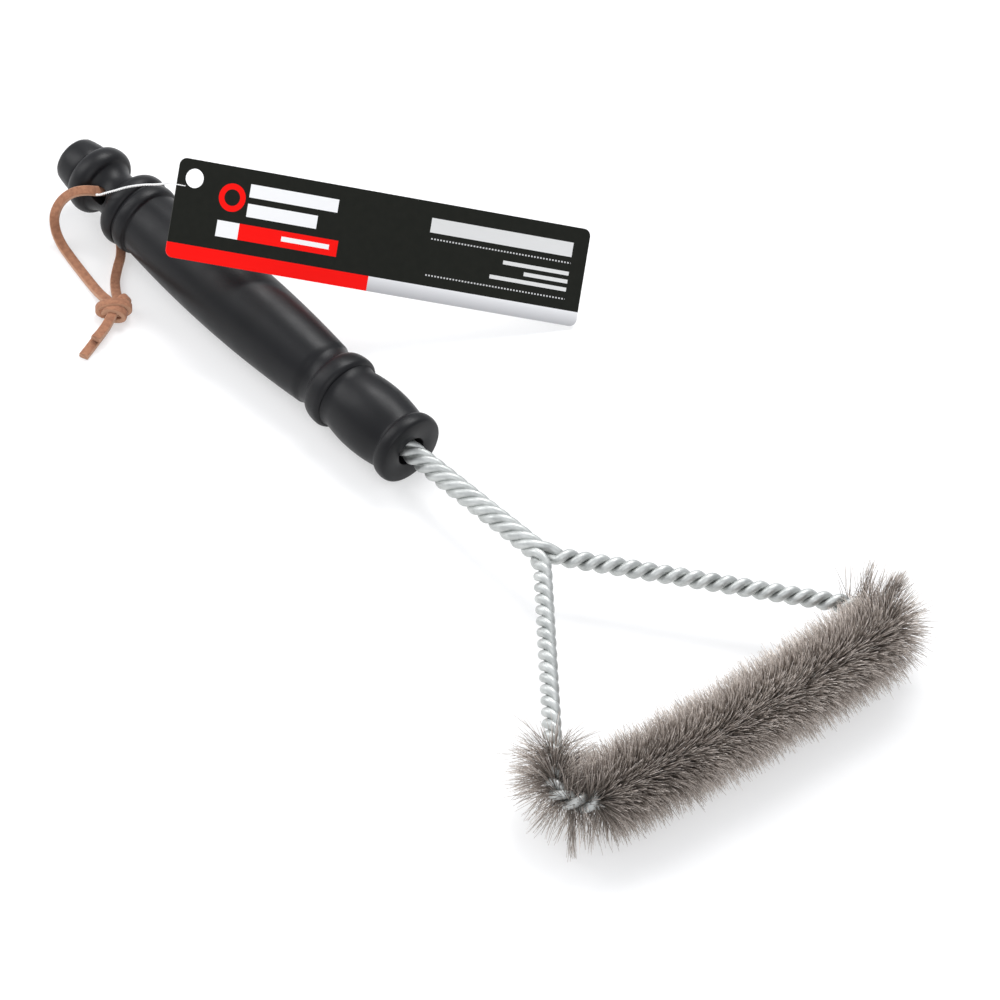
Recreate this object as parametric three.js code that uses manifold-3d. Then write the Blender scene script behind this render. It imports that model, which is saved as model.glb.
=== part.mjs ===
// Grill cleaning brush: a turned wooden handle, a stem and a triangle twisted from two wires,
// steel bristles round the triangle's base, a leather lanyard and a card hang tag on a string.
// Units are millimetres, +Z is up, and the brush lies on the plane z = 0. Places are given
// from the point of that plane under the handle's front collar, +X from there to the brush.
import * as THREE from "three";
import { mergeVertices } from "three/addons/utils/BufferGeometryUtils.js";
import Module from "manifold-3d";

const wasm = await Module();
wasm.setup();

// Driving dimensions.
const COLLAR_X = -3.65; // puts the middle of the brush's length at x = 0
const COLLAR_UP = 12.8; // height of the handle's axis at its front collar
const PITCH = THREE.MathUtils.degToRad(1.28); // of the handle, its rear end the higher
const HANDLE_LENGTH = 173.6;
const COLLAR_U = 171.2; // distances "u" run along the handle from its rear end
const NECK_U = 22.1; // the waist that the lanyard hole crosses
const LANYARD_HOLE = { radius: 2.8, tilt: THREE.MathUtils.degToRad(22) }; // -Y side the higher
const BORE = { radius: 5.25, depth: 52 };
const SLEEVE = { outer: 4.9, inner: 4.2, recess: 5, length: 38 };

const WIRE = { radius: 1.3, halfSpacing: 1.66 }; // spacing of the two wires of a pair
const LAY = { stem: 20.8, arm: 10.4 }; // length of a full left-handed turn
const TAIL_DEPTH = 46; // how far the wires reach into the handle
const FORK_X = 65.6;
const TRIANGLE = { height: 93, base: 155.6, forkUp: 15.7, baseUp: 17.05, bow: 3 };
const BEND = { mouth: 30, fork: 7, corner: 8 }; // radii of the bends of a pair's axis

const BRISTLE = { radius: 17, channel: 3.6, seamGap: 0.4 };
// Where each arm's bristles start, from the fork, and where they meet the base's bristles.
const LEFT_PACK = { side: -1, start: 86, seamY: -42 };
const RIGHT_PACK = { side: 1, start: 98.5, seamY: 50 };

const LACE_RADIUS = 1.05;
const STRING_RADIUS = 0.4;
const KNOT = { centre: [-115.6, -27.9, 3.75], size: [11.2, 8.2, 7.2], turn: -35 };
const TAG = {
  length: 147.5,
  height: 33.1,
  thickness: 0.6,
  corner: 2.5,
  hole: { radius: 3.2, fromEnd: 5.9, fromTop: 6.2 },
  lowCorner: [-20.3, 95.2, 0.6], // the corner that stands on the table
  along: [0.5131, 0.8164, -0.265], // from the hole's end towards the low corner
  down: [0.4378, -0.5214, -0.7329],
};

// Routes of the limp pieces. The lace comes out of both mouths of the lanyard hole, drops to
// the table, and its far leg comes back under the neck to meet the near leg at the knot.
const NEAR_LEG = [
  [-150.2, -0.9, 17.5],
  [-150.2, -4.4, 18.9],
  [-150.3, -8.2, 20.6],
  [-151.2, -11.4, 21.8],
  [-153.4, -14.2, 21.0],
  [-155.8, -16.4, 18.0],
  [-157.4, -18.0, 13.5],
  [-157.5, -19.0, 9.0],
  [-155.6, -19.6, 4.8],
  [-151.8, -20.2, 2.1],
  [-145.8, -21.3, 1.2],
  [-138.6, -22.8, 1.15],
  [-131.4, -24.2, 1.15],
  [-126.4, -25.2, 1.5],
  [-122.9, -25.9, 2.2],
];
const FAR_LEG = [
  [-150.2, 0.9, 16.8],
  [-150.2, 4.4, 15.4],
  [-150.3, 8.2, 13.8],
  [-150.5, 11.2, 11.9],
  [-150.7, 12.5, 8.8],
  [-150.6, 11.8, 5.4],
  [-150.2, 9.2, 2.7],
  [-149.2, 5.8, 1.4],
  [-147.2, 2.3, 1.15],
  [-144.0, -1.0, 1.15],
  [-139.8, -4.0, 1.15],
  [-135.9, -7.4, 1.15],
  [-132.0, -12.0, 1.15],
  [-127.6, -16.7, 1.15],
  [-123.6, -19.8, 1.4],
  [-120.4, -22.0, 2.0],
];
const LONG_TAIL = [
  [-111.9, -33.6, 1.3],
  [-110.2, -37.2, 1.15],
  [-108.5, -41.0, 1.15],
  [-106.7, -45.0, 1.15],
  [-104.9, -49.2, 1.15],
];
const SHORT_TAIL = [
  [-111.0, -33.4, 4.1],
  [-109.6, -36.2, 3.8],
  [-108.3, -39.2, 3.7],
  [-107.1, -42.5, 3.7],
];
const TAG_STRING = [
  [-148.3, -8.7, 20.7],
  [-146.8, -10.6, 22.6],
  [-144.2, -11.3, 24.9],
  [-141.9, -11.2, 27.2],
  [-139.2, -10.8, 29.7],
  [-136.7, -10.6, 32.1],
  [-133.8, -10.6, 35.0],
  [-130.2, -10.9, 38.4],
  [-123.5, -11.5, 44.2],
  [-116.5, -12.2, 49.7],
  [-108.5, -14.8, 57.4],
];

const LOOKS = {
  paintedWood: { color: 0x1f2024, roughness: 0.45, metalness: 0 },
  adhesive: { color: 0x8a7a58, roughness: 0.6, metalness: 0 },
  wire: { color: 0xa3a8a8, roughness: 0.4, metalness: 1 },
  bristle: { color: 0x6e6562, roughness: 0.45, metalness: 0.9 },
  lace: { color: 0xa87c62, roughness: 0.9, metalness: 0 },
  string: { color: 0xe8e8e6, roughness: 0.8, metalness: 0 },
  card: { color: 0x22231f, roughness: 0.55, metalness: 0 },
};

const vector = (x, y, z) => new THREE.Vector3(x, y, z);

function piece(name, geometry, look) {
  const mesh = new THREE.Mesh(geometry, new THREE.MeshStandardMaterial(LOOKS[look]));
  mesh.name = name;
  return mesh;
}

// Solids for joining and cutting.
function toSolid(geometry) {
  const bare = geometry.clone();
  bare.deleteAttribute("normal");
  bare.deleteAttribute("uv");
  const merged = mergeVertices(bare, 1e-4);
  const mesh = new wasm.Mesh({
    numProp: 3,
    vertProperties: new Float32Array(merged.attributes.position.array),
    triVerts: new Uint32Array(merged.index.array),
  });
  return new wasm.Manifold(mesh);
}

function toGeometry(solid) {
  const mesh = solid.getMesh();
  const geometry = new THREE.BufferGeometry();
  geometry.setAttribute("position", new THREE.BufferAttribute(mesh.vertProperties, 3));
  geometry.setIndex(new THREE.BufferAttribute(mesh.triVerts, 1));
  geometry.computeVertexNormals();
  return geometry;
}

// A closed tube through points, with one ring of corners at each point.
function tube(points, radius, sides) {
  const last = points.length - 1;
  const corners = [];
  const faces = [];
  const out = vector(0, 0, 1);
  points.forEach((point, i) => {
    const before = points[Math.max(i - 1, 0)];
    const ahead = points[Math.min(i + 1, last)].clone().sub(before).normalize();
    out.addScaledVector(ahead, -out.dot(ahead)).normalize();
    const side = ahead.clone().cross(out);
    for (let k = 0; k < sides; k++) {
      const angle = (2 * Math.PI * k) / sides;
      const corner = point.clone().addScaledVector(out, radius * Math.cos(angle));
      corners.push(...corner.addScaledVector(side, radius * Math.sin(angle)));
    }
  });
  for (let i = 0; i < last; i++) {
    for (let k = 0; k < sides; k++) {
      const here = i * sides + k;
      const next = i * sides + ((k + 1) % sides);
      faces.push(here, next, here + sides, next, next + sides, here + sides);
    }
  }
  for (let k = 1; k < sides - 1; k++) {
    const end = last * sides;
    faces.push(0, k + 1, k, end, end + k, end + k + 1);
  }
  const geometry = new THREE.BufferGeometry();
  geometry.setAttribute("position", new THREE.Float32BufferAttribute(corners, 3));
  geometry.setIndex(faces);
  geometry.computeVertexNormals();
  return geometry;
}

function cord(name, route, radius, steps, look) {
  const points = route.map((p) => vector(...p));
  const curve = new THREE.CatmullRomCurve3(points, false, "centripetal");
  return piece(name, tube(curve.getSpacedPoints(steps), radius, 8), look);
}

// Handle. Its profile is drawn as u along the axis and r out from it.

// One rise and fall of the profile between two feet, round-topped or a gentle swell.
function ridge(start, top, end, points, round) {
  const outline = [];
  for (let i = 0; i <= points; i++) {
    const share = (2 * i) / points - 1;
    const across = round ? Math.sin((share * Math.PI) / 2) : share;
    const rise = round ? Math.cos((share * Math.PI) / 2) : 1 - share * share;
    const foot = share < 0 ? start : end;
    const u = top[0] + Math.abs(across) * (foot[0] - top[0]);
    outline.push([u, foot[1] + rise * (top[1] - foot[1])]);
  }
  return outline;
}

const HANDLE_OUTLINE = [
  [0, 0],
  [0, 7.0],
  [0.5, 7.6],
  [1.4, 8.2],
  [7.0, 9.15],
  [9.2, 9.3],
  ...ridge([9.5, 9.5], [14.1, 12.1], [17.6, 9.8], 8, true),
  [19.6, 8.5],
  [NECK_U, 7.95],
  [24.8, 8.3],
  [27.3, 9.3],
  ...ridge([27.6, 9.7], [32.1, 13.25], [34.4, 12.1], 8, true),
  ...ridge([34.8, 12.0], [37.6, 12.85], [40.0, 11.9], 6, true),
  ...ridge([40.4, 11.5], [86, 13.8], [128.4, 11.8], 12, false),
  [130.2, 11.1],
  [133.4, 11.4],
  ...ridge([133.7, 11.55], [139.2, 13.43], [141.3, 11.95], 8, true),
  ...ridge([144.4, 11.7], [154.5, 12.7], [165.6, 11.6], 6, false),
  [167.7, 11.4],
  ...ridge([168.0, 11.5], [COLLAR_U, 12.77], [HANDLE_LENGTH, 11.5], 8, true),
  [HANDLE_LENGTH, 0],
];

// A turned shape, given by u and r, lying along the handle's axis.
function turned(outline, segments) {
  const profile = outline.map(([u, r]) => new THREE.Vector2(r, u));
  const geometry = new THREE.LatheGeometry(profile, segments);
  geometry.rotateZ(-Math.PI / 2);
  return placeOnHandle(geometry);
}

// Moves a shape from an axis along +X, measured from the rear end, to the handle's axis.
function placeOnHandle(geometry) {
  geometry.translate(-COLLAR_U, 0, 0);
  geometry.rotateY(PITCH);
  return geometry.translate(0, 0, COLLAR_UP);
}

const FRONT_U = HANDLE_LENGTH;

function handle() {
  const bore = turned(
    [
      [FRONT_U - BORE.depth, 0],
      [FRONT_U - BORE.depth, BORE.radius],
      [FRONT_U + 5, BORE.radius],
      [FRONT_U + 5, 0],
    ],
    24,
  );
  const crossHole = new THREE.CylinderGeometry(LANYARD_HOLE.radius, LANYARD_HOLE.radius, 40, 20);
  crossHole.rotateX(-LANYARD_HOLE.tilt);
  crossHole.translate(NECK_U, 0, 0);
  const body = toSolid(turned(HANDLE_OUTLINE, 32));
  const drilled = body.subtract(toSolid(bore)).subtract(toSolid(placeOnHandle(crossHole)));
  return piece("handle", toGeometry(drilled), "paintedWood");
}

// The set adhesive that holds the wires in the handle's bore.
function glueSleeve() {
  const front = FRONT_U - SLEEVE.recess;
  const outline = [
    [front - SLEEVE.length, SLEEVE.inner],
    [front - SLEEVE.length, SLEEVE.outer],
    [front, SLEEVE.outer],
    [front, SLEEVE.inner],
    [front - SLEEVE.length, SLEEVE.inner],
  ];
  return piece("glue_sleeve", turned(outline, 20), "adhesive");
}

// Wires. Two wires, twisted into a pair, run out of the handle, round the triangle and back
// into the handle, and along the stem the outgoing pair and the returning pair are twisted
// into a rope of four.

function onHandleAxis(u) {
  const beyond = u - COLLAR_U;
  return vector(beyond * Math.cos(PITCH), 0, COLLAR_UP - beyond * Math.sin(PITCH));
}

const TAIL = onHandleAxis(FRONT_U - TAIL_DEPTH);
const MOUTH = onHandleAxis(FRONT_U + 1);
const FORK = vector(FORK_X, 0, TRIANGLE.forkUp);
const BASE_X = FORK_X + TRIANGLE.height;
const LEFT = vector(BASE_X, -TRIANGLE.base / 2, TRIANGLE.baseUp);
const RIGHT = vector(BASE_X, TRIANGLE.base / 2, TRIANGLE.baseUp);
const BASE_MIDDLE = vector(BASE_X + TRIANGLE.bow, 0, TRIANGLE.baseUp);

// The arc that rounds the corner between two straight runs.
function bend(before, corner, after, radius, steps) {
  const back = before.clone().sub(corner).normalize();
  const ahead = after.clone().sub(corner).normalize();
  const half = back.angleTo(ahead) / 2;
  const centre = back.clone().add(ahead).setLength(radius / Math.sin(half)).add(corner);
  const start = back.clone().setLength(radius / Math.tan(half)).add(corner).sub(centre);
  const axis = ahead.clone().cross(back).normalize();
  const arc = [];
  for (let i = 0; i <= steps; i++) {
    const angle = ((Math.PI - 2 * half) * i) / steps;
    arc.push(start.clone().applyAxisAngle(axis, angle).add(centre));
  }
  return arc;
}

// The axis of the pair, out along the left arm and back along the right one.
function pairAxis() {
  return [
    TAIL,
    ...bend(TAIL, MOUTH, FORK, BEND.mouth, 2),
    ...bend(MOUTH, FORK, LEFT, BEND.fork, 4),
    ...bend(FORK, LEFT, BASE_MIDDLE, BEND.corner, 10),
    BASE_MIDDLE,
    ...bend(BASE_MIDDLE, RIGHT, FORK, BEND.corner, 10),
    ...bend(RIGHT, FORK, MOUTH, BEND.fork, 4),
    ...bend(FORK, MOUTH, TAIL, BEND.mouth, 2),
    TAIL,
  ];
}

// The point at a given distance along a run of points.
function walker(points) {
  const reached = [0];
  for (let i = 1; i < points.length; i++) {
    reached.push(reached[i - 1] + points[i].distanceTo(points[i - 1]));
  }
  const length = reached.at(-1);
  const at = (distance) => {
    const inside = THREE.MathUtils.clamp(distance, 0, length);
    const i = Math.max(1, reached.findIndex((r) => r >= inside));
    const share = (inside - reached[i - 1]) / (reached[i] - reached[i - 1]);
    return points[i - 1].clone().lerp(points[i], share);
  };
  return { at, length };
}

function wireLines() {
  const axis = walker(pairAxis());
  const middle = axis.length / 2;
  const fork = TAIL.distanceTo(MOUTH) + MOUTH.distanceTo(FORK);
  const stemRate = (2 * Math.PI) / LAY.stem;
  // Each pair goes on for a quarter turn at the stem's rate once it has left the rope. The
  // arms then take a whole number of quarter turns, so that both ends match.
  const armStart = fork + LAY.stem / 4;
  const quarters = Math.round((4 * (middle - armStart)) / LAY.arm);
  const armRate = ((Math.PI / 2) * quarters) / (middle - armStart);
  const twist = (d) =>
    stemRate * (Math.min(d, armStart) - fork) + armRate * Math.max(0, d - armStart);
  // The angle of the pair round the stem's axis comes to rest over this length.
  const ease = 3;
  const swing = (d) =>
    d < fork - ease
      ? stemRate * (d - fork)
      : (-stemRate * Math.max(0, fork + ease - d) ** 2) / (4 * ease);
  const leave = (d) => 1 - THREE.MathUtils.smoothstep(d, fork, fork + 2 * ease);

  const half = [];
  for (let d = 0; d < middle - 0.5; d += d < fork - ease ? LAY.stem / 8 : LAY.arm / 6) {
    half.push(d);
  }
  const stations = [...half, middle, ...half.toReversed().map((d) => axis.length - d)];
  const lines = [[], []];
  for (const s of stations) {
    const returning = s > middle;
    const d = Math.min(s, axis.length - s);
    const ahead = axis.at(s + 1).sub(axis.at(s - 1)).normalize();
    const up = vector(0, 0, 1).addScaledVector(ahead, -ahead.z).normalize();
    const side = up.clone().cross(ahead);
    const offset = (angle, length) => {
      const across = side.clone().multiplyScalar(length * Math.cos(angle));
      return across.addScaledVector(up, length * Math.sin(angle));
    };
    const sense = returning ? 1 : -1;
    const centre = axis.at(s).add(offset(Math.PI + sense * swing(d), WIRE.halfSpacing * leave(d)));
    const angle = Math.PI / 2 + sense * twist(d) + (returning ? Math.PI * (quarters + 1) : 0);
    lines[0].push(centre.clone().add(offset(angle, WIRE.halfSpacing)));
    lines[1].push(centre.clone().sub(offset(angle, WIRE.halfSpacing)));
  }
  return lines;
}

function coreWires() {
  const [first, second] = wireLines();
  return [
    piece("core_wire_a", tube(first, WIRE.radius, 6), "wire"),
    piece("core_wire_b", tube(second, WIRE.radius, 6), "wire"),
  ];
}

// Bristles: the solid that the filaments' tips sweep out round the wires.

function cylinderBetween(start, end, radius) {
  const length = start.distanceTo(end);
  const geometry = new THREE.CylinderGeometry(radius, radius, length, 20);
  const direction = end.clone().sub(start).normalize();
  geometry.applyQuaternion(new THREE.Quaternion().setFromUnitVectors(vector(0, 1, 0), direction));
  const centre = start.clone().lerp(end, 0.5);
  return toSolid(geometry.translate(centre.x, centre.y, centre.z));
}

function ball(centre, radius) {
  const geometry = new THREE.SphereGeometry(radius, 20, 12);
  return toSolid(geometry.translate(centre.x, centre.y, centre.z));
}

// The room above the table between two places across the brush.
function slab(fromY, toY) {
  const height = 100;
  const geometry = new THREE.BoxGeometry(400, toY - fromY, height);
  const up = height / 2 + TRIANGLE.baseUp - BRISTLE.radius;
  return toSolid(geometry.translate(BASE_X, (fromY + toY) / 2, up));
}

function cornerPack(name, pack, corner, channel) {
  const arc = bend(FORK, corner, BASE_MIDDLE, BEND.corner, 3);
  const start = FORK.clone().lerp(corner, pack.start / FORK.distanceTo(corner));
  const run = [start, ...arc, BASE_MIDDLE];
  let solid = cylinderBetween(run[0], run[1], BRISTLE.radius);
  for (let i = 1; i < run.length - 1; i++) {
    solid = solid.add(ball(run[i], BRISTLE.radius));
    solid = solid.add(cylinderBetween(run[i], run[i + 1], BRISTLE.radius));
  }
  const far = pack.side * 150;
  const keep = slab(Math.min(pack.seamY, far), Math.max(pack.seamY, far));
  return piece(name, toGeometry(solid.intersect(keep).subtract(channel)), "bristle");
}

function bristles() {
  const channel = toSolid(tube(pairAxis(), BRISTLE.channel, 10));
  const base = cylinderBetween(LEFT, BASE_MIDDLE, BRISTLE.radius).add(
    cylinderBetween(BASE_MIDDLE, RIGHT, BRISTLE.radius),
  );
  const between = slab(LEFT_PACK.seamY + BRISTLE.seamGap, RIGHT_PACK.seamY - BRISTLE.seamGap);
  return [
    piece("bristles_base", toGeometry(base.intersect(between).subtract(channel)), "bristle"),
    cornerPack("bristles_left_corner", LEFT_PACK, LEFT, channel),
    cornerPack("bristles_right_corner", RIGHT_PACK, RIGHT, channel),
  ];
}

// Lanyard.
function lanyardKnot() {
  const geometry = new THREE.SphereGeometry(0.5, 16, 10);
  geometry.scale(...KNOT.size);
  geometry.rotateZ(THREE.MathUtils.degToRad(KNOT.turn));
  return piece("lanyard_knot", geometry.translate(...KNOT.centre), "lace");
}

function lanyard() {
  return [
    cord("lanyard_near_leg", NEAR_LEG, LACE_RADIUS, 24, "lace"),
    cord("lanyard_far_leg", FAR_LEG, LACE_RADIUS, 24, "lace"),
    lanyardKnot(),
    cord("lanyard_long_tail", LONG_TAIL, LACE_RADIUS, 5, "lace"),
    cord("lanyard_short_tail", SHORT_TAIL, LACE_RADIUS, 4, "lace"),
  ];
}

// Hang tag, drawn flat with its low corner at the origin, its long edge along -x and its
// height along +y, and then stood on that corner.
function hangTag() {
  const { length, height, thickness, corner, hole } = TAG;
  const outline = new THREE.Shape();
  outline.absarc(-corner, corner, corner, -Math.PI / 2, 0);
  outline.absarc(-corner, height - corner, corner, 0, Math.PI / 2);
  outline.absarc(corner - length, height - corner, corner, Math.PI / 2, Math.PI);
  outline.absarc(corner - length, corner, corner, Math.PI, (3 * Math.PI) / 2);
  const eye = new THREE.Path();
  eye.absarc(hole.fromEnd - length, height - hole.fromTop, hole.radius, 0, 2 * Math.PI, true);
  outline.holes.push(eye);
  const geometry = new THREE.ExtrudeGeometry(outline, {
    depth: thickness,
    bevelEnabled: false,
    curveSegments: 6,
  });
  geometry.translate(0, 0, -thickness / 2);
  const along = vector(...TAG.along).normalize();
  const normal = vector(...TAG.down).cross(along).normalize();
  const up = normal.clone().cross(along);
  const stand = new THREE.Matrix4().makeBasis(along, up, normal);
  geometry.applyMatrix4(stand.setPosition(...TAG.lowCorner));
  return piece("hang_tag", geometry, "card");
}

const brush = new THREE.Group();
brush.add(handle());
brush.add(glueSleeve());
brush.add(...coreWires());
brush.add(...bristles());
brush.add(...lanyard());
brush.add(cord("tag_string", TAG_STRING, STRING_RADIUS, 26, "string"));
brush.add(hangTag());
brush.position.x = COLLAR_X;

export default brush;
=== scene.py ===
"""Looks of the grill cleaning brush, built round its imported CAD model. Lengths are in metres.

The plain numbers in the first tables are millimetres from the point of the table under the
handle's front collar, as in the CAD model, and place() turns them into metres in the frame.
"""

import math

import bpy
import numpy as np
from mathutils import Matrix, Vector


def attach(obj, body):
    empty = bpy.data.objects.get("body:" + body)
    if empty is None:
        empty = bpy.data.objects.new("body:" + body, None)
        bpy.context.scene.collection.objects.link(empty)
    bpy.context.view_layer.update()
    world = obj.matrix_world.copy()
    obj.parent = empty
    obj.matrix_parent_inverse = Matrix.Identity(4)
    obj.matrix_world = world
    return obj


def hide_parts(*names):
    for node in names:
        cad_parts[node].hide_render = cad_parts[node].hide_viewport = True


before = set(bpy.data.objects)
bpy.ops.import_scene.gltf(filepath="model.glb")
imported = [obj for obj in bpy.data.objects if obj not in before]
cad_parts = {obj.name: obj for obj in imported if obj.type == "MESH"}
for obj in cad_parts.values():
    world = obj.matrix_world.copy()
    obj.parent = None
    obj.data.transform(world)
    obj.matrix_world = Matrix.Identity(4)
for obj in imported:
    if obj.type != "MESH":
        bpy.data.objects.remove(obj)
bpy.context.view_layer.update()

MM = 0.001
COLLAR_X = -3.65
COLLAR_UP = 12.8
PITCH = math.radians(1.28)
HANDLE_LENGTH = 173.6
COLLAR_U = 171.2
NECK_U = 22.1
HOLE_RADIUS = 2.8
HOLE_TILT = math.radians(22)
BORE_RADIUS = 5.25
BORE_DEPTH = 52

WIRE_RADIUS = 1.58
HALF_SPACING = 1.58
LAY_STEM = 20.8
LAY_ARM = 10.4
TAIL_DEPTH = 46
FORK_X = 65.6
TRIANGLE_HEIGHT = 93
TRIANGLE_BASE = 155.6
FORK_UP = 15.7
BASE_UP = 17.05
BASE_BOW = 3
BEND_MOUTH = 30
BEND_FORK = 7
BEND_CORNER = 8

NEAR_LEG = [
    (-150.2, -0.9, 17.5),
    (-150.2, -4.4, 18.9),
    (-150.3, -8.2, 20.6),
    (-151.2, -11.4, 21.8),
    (-153.4, -14.2, 21.0),
    (-155.8, -16.4, 18.0),
    (-157.4, -18.0, 13.5),
    (-157.5, -19.0, 9.0),
    (-155.6, -19.6, 4.8),
    (-151.8, -20.2, 2.1),
    (-145.8, -21.3, 1.2),
    (-138.6, -22.8, 1.15),
    (-131.4, -24.2, 1.15),
    (-126.4, -25.2, 1.5),
    (-122.9, -25.9, 2.2),
]
FAR_LEG = [
    (-150.2, 0.9, 16.8),
    (-150.2, 4.4, 15.4),
    (-150.3, 8.2, 13.8),
    (-150.5, 11.2, 11.9),
    (-150.7, 12.5, 8.8),
    (-150.6, 11.8, 5.4),
    (-150.2, 9.2, 2.7),
    (-149.2, 5.8, 1.4),
    (-147.2, 2.3, 1.15),
    (-144.0, -1.0, 1.15),
    (-139.8, -4.0, 1.15),
    (-135.9, -7.4, 1.15),
    (-132.0, -12.0, 1.15),
    (-127.6, -16.7, 1.15),
    (-123.6, -19.8, 1.4),
    (-120.4, -22.0, 2.0),
]
LONG_TAIL = [
    (-111.9, -33.6, 1.3),
    (-110.2, -37.2, 1.15),
    (-108.5, -41.0, 1.15),
    (-106.7, -45.0, 1.15),
    (-104.9, -49.2, 1.15),
]
SHORT_TAIL = [
    (-111.0, -33.4, 4.1),
    (-109.6, -36.2, 3.8),
    (-108.3, -39.2, 3.7),
    (-107.1, -42.5, 3.7),
]
TAG_STRING = [
    (-148.3, -8.7, 20.7),
    (-146.8, -10.6, 22.6),
    (-144.2, -11.3, 24.9),
    (-141.9, -11.2, 27.2),
    (-139.2, -10.8, 29.7),
    (-136.7, -10.6, 32.1),
    (-133.8, -10.6, 35.0),
    (-130.2, -10.9, 38.4),
    (-123.5, -11.5, 44.2),
    (-116.5, -12.2, 49.7),
    (-108.5, -14.8, 57.4),
]
# Stretches of the lace inside the knot, which the CAD model leaves to its solid.
NEAR_LEG_IN_KNOT = [(-119.4, -26.4, 2.9), (-116.4, -27.6, 3.3)]
FAR_LEG_IN_KNOT = [(-117.9, -24.2, 2.6), (-115.8, -26.6, 3.1)]
LONG_TAIL_IN_KNOT = [(-115.6, -27.9, 2.6), (-113.6, -30.6, 1.9)]
SHORT_TAIL_IN_KNOT = [(-115.2, -27.2, 4.2), (-112.9, -30.3, 4.3)]
KNOT_CENTRE = (-115.6, -27.9, 3.6)
TAG_LENGTH = 147.5
TAG_HEIGHT = 33.1
TAG_THICKNESS = 0.5
TAG_CORNER = 2.5
TAG_HOLE = (5.9, 6.2, 3.2)  # from the end, from the top, radius
TAG_LOW_CORNER = (-20.3, 95.2, 0.6)
TAG_ALONG = (0.5131, 0.8164, -0.265)
TAG_DOWN = (0.4378, -0.5214, -0.7329)
# Where bunched filaments stand out: root, reach, how many, their spread and the CAD node.
TUFTS = [
    ((157.8, -71.0, 15.5), (4.6, -1.6, -14.5), 22, 0.05, "bristles_left_corner"),
    ((144.8, 66.2, 17.0), (-2.7, 6.2, 14.4), 16, 0.045, "bristles_right_corner"),
    ((149.8, 71.6, 17.0), (2.4, 5.0, 14.0), 80, 0.09, "bristles_right_corner"),
]

RANDOM = np.random.default_rng(17)


def place(points):
    """Millimetres from the collar's foot, as metres in the frame."""
    return (np.asarray(points, float) + (COLLAR_X, 0, 0)) * MM


# --- Camera and light -------------------------------------------------------------------


CAMERA_ANGLES = (42.584, 42.994, 7.994)  # azimuth, elevation and roll, in degrees
CAMERA_DISTANCE = 2.5
CAMERA_LENS = 274.5
AIM_RIGHT = 0.0318
AIM_UP = -0.0079


def camera():
    azimuth, elevation, roll = (math.radians(a) for a in CAMERA_ANGLES)
    back = Vector(
        (
            math.cos(elevation) * math.sin(azimuth),
            -math.cos(elevation) * math.cos(azimuth),
            math.sin(elevation),
        )
    )
    level = Vector((math.cos(azimuth), math.sin(azimuth), 0))
    upright = back.cross(level)
    right = math.cos(roll) * level + math.sin(roll) * upright
    up = math.cos(roll) * upright - math.sin(roll) * level
    aim = AIM_RIGHT * right + AIM_UP * up + Vector((COLLAR_X * MM, 0, 0))
    data = bpy.data.cameras.new("camera")
    data.sensor_width = 36
    data.lens = CAMERA_LENS
    data.clip_end = 20
    view = bpy.data.objects.new("camera", data)
    facing = Matrix((right, up, back)).transposed().to_4x4()
    view.matrix_world = Matrix.Translation(aim + CAMERA_DISTANCE * back) @ facing
    bpy.context.scene.collection.objects.link(view)
    bpy.context.scene.camera = view


def softbox(name, position, target, size, power, colour=(1, 1, 1)):
    data = bpy.data.lights.new(name, "AREA")
    data.shape = "RECTANGLE"
    data.size, data.size_y = size
    data.energy = power
    data.color = colour
    lamp = bpy.data.objects.new(name, data)
    lamp.location = position
    aim = Vector(target) - Vector(position)
    lamp.rotation_euler = aim.to_track_quat("-Z", "Y").to_euler()
    bpy.context.scene.collection.objects.link(lamp)


def light():
    world = bpy.data.worlds.new("studio")
    world.use_nodes = True
    background = world.node_tree.nodes["Background"]
    background.inputs["Color"].default_value = (0.93, 0.95, 1.0, 1)
    background.inputs["Strength"].default_value = 0.7
    bpy.context.scene.world = world
    bpy.context.scene.view_settings.view_transform = "Standard"
    softbox("key", (-0.5, 0.7, 1.3), (0, 0, 0), (0.9, 0.6), 16)
    softbox("fill", (0.9, -0.9, 1.1), (0, 0, 0), (1.2, 1.2), 7)
    softbox("side", (-0.9, -0.5, 0.7), (0, 0, 0), (0.6, 0.9), 6)


# --- Meshes -----------------------------------------------------------------------------


def add_mesh(name, corners, faces, smooth=True):
    mesh = bpy.data.meshes.new(name)
    mesh.from_pydata([tuple(c) for c in corners], [], [tuple(f) for f in faces])
    mesh.validate()
    mesh.polygons.foreach_set("use_smooth", [smooth] * len(mesh.polygons))
    piece = bpy.data.objects.new(name, mesh)
    bpy.context.scene.collection.objects.link(piece)
    return piece


SPLINE_STEPS = 24  # fine points between two given ones, before they are spaced evenly


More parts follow.
